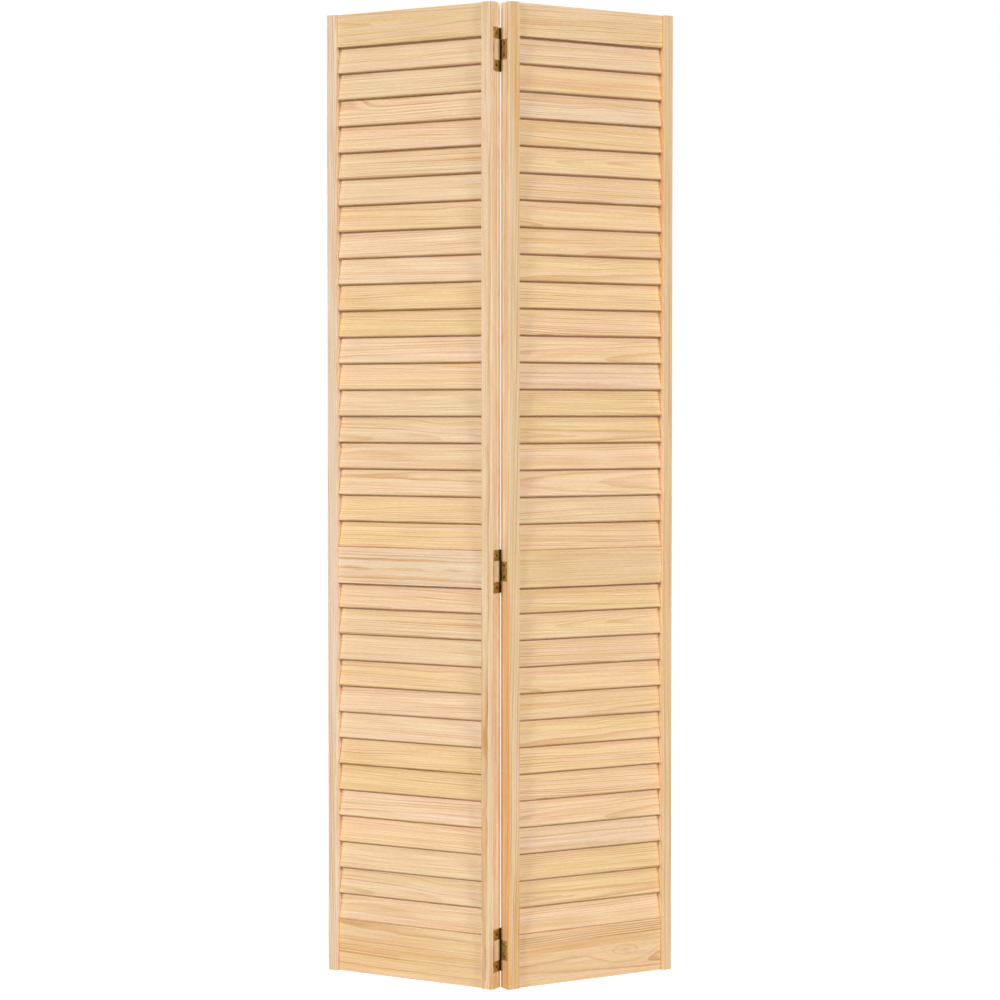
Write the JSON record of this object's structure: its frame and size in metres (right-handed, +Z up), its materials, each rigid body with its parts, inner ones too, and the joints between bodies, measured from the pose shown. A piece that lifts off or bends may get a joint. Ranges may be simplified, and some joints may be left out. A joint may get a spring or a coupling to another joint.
{
  "type": "bifold closet door",
  "caption": "Louvered pine bifold closet door: two framed panels of fixed near-vertical slats, hinged edge to edge to fold.",
  "frame": {"origin": "middle of the footprint box of the part-folded door, on the floor", "axes": "+Z up the door, -Y towards the room (the hinged edges point that way), +X to the right seen from the room"},
  "size_m": [0.7234, 0.2256, 2.0066],
  "materials": {
    "stile_pine": "bare sanded pine, grain upright",
    "rail_pine": "bare sanded pine, grain level",
    "slat_pine": "bare sanded pine, grain level",
    "dowel_wood": "plain birch dowel",
    "hinge_brass": "antique brass plate",
    "pin_brass": "antique brass plate",
    "screw_brass": "antique brass plate"
  },
  "bodies": {
    "left_panel": {"bottom_hinge_outer_leaf": "hinge_brass", "bottom_hinge_pin": "pin_brass", "left_bottom_rail": "rail_pine", "left_hinge_screws": "screw_brass", "left_hinge_stile": "stile_pine", "left_lower_slat_13": "slat_pine", "left_lower_slats_01_02": "slat_pine", "left_lower_slats_03_04": "slat_pine", "left_lower_slats_05_06": "slat_pine", "left_lower_slats_07_08": "slat_pine", "left_lower_slats_09_10": "slat_pine", "left_lower_slats_11_12": "slat_pine", "left_middle_rail": "rail_pine", "left_outer_stile": "stile_pine", "left_rail_dowels": "dowel_wood", "left_top_rail": "rail_pine", "left_upper_slat_19": "slat_pine", "left_upper_slats_01_02": "slat_pine", "left_upper_slats_03_04": "slat_pine", "left_upper_slats_05_06": "slat_pine", "left_upper_slats_07_08": "slat_pine", "left_upper_slats_09_10": "slat_pine", "left_upper_slats_11_12": "slat_pine", "left_upper_slats_13_14": "slat_pine", "left_upper_slats_15_16": "slat_pine", "left_upper_slats_17_18": "slat_pine", "middle_hinge_outer_leaf": "hinge_brass", "middle_hinge_pin": "pin_brass", "top_hinge_outer_leaf": "hinge_brass", "top_hinge_pin": "pin_brass"},
    "right_panel": {"bottom_hinge_inner_leaf": "hinge_brass", "middle_hinge_inner_leaf": "hinge_brass", "right_bottom_rail": "rail_pine", "right_hinge_screws": "screw_brass", "right_hinge_stile": "stile_pine", "right_lower_slat_13": "slat_pine", "right_lower_slats_01_02": "slat_pine", "right_lower_slats_03_04": "slat_pine", "right_lower_slats_05_06": "slat_pine", "right_lower_slats_07_08": "slat_pine", "right_lower_slats_09_10": "slat_pine", "right_lower_slats_11_12": "slat_pine", "right_middle_rail": "rail_pine", "right_outer_stile": "stile_pine", "right_rail_dowels": "dowel_wood", "right_top_rail": "rail_pine", "right_upper_slat_19": "slat_pine", "right_upper_slats_01_02": "slat_pine", "right_upper_slats_03_04": "slat_pine", "right_upper_slats_05_06": "slat_pine", "right_upper_slats_07_08": "slat_pine", "right_upper_slats_09_10": "slat_pine", "right_upper_slats_11_12": "slat_pine", "right_upper_slats_13_14": "slat_pine", "right_upper_slats_15_16": "slat_pine", "right_upper_slats_17_18": "slat_pine", "top_hinge_inner_leaf": "hinge_brass"}
  },
  "joints": [
    {"name": "fold", "type": "hinge", "parent": "left_panel", "child": "right_panel", "pos_m": [0, -0.08619, 1], "axis": [0, 0, 1], "range_deg": [-60, 120]}
  ]
}
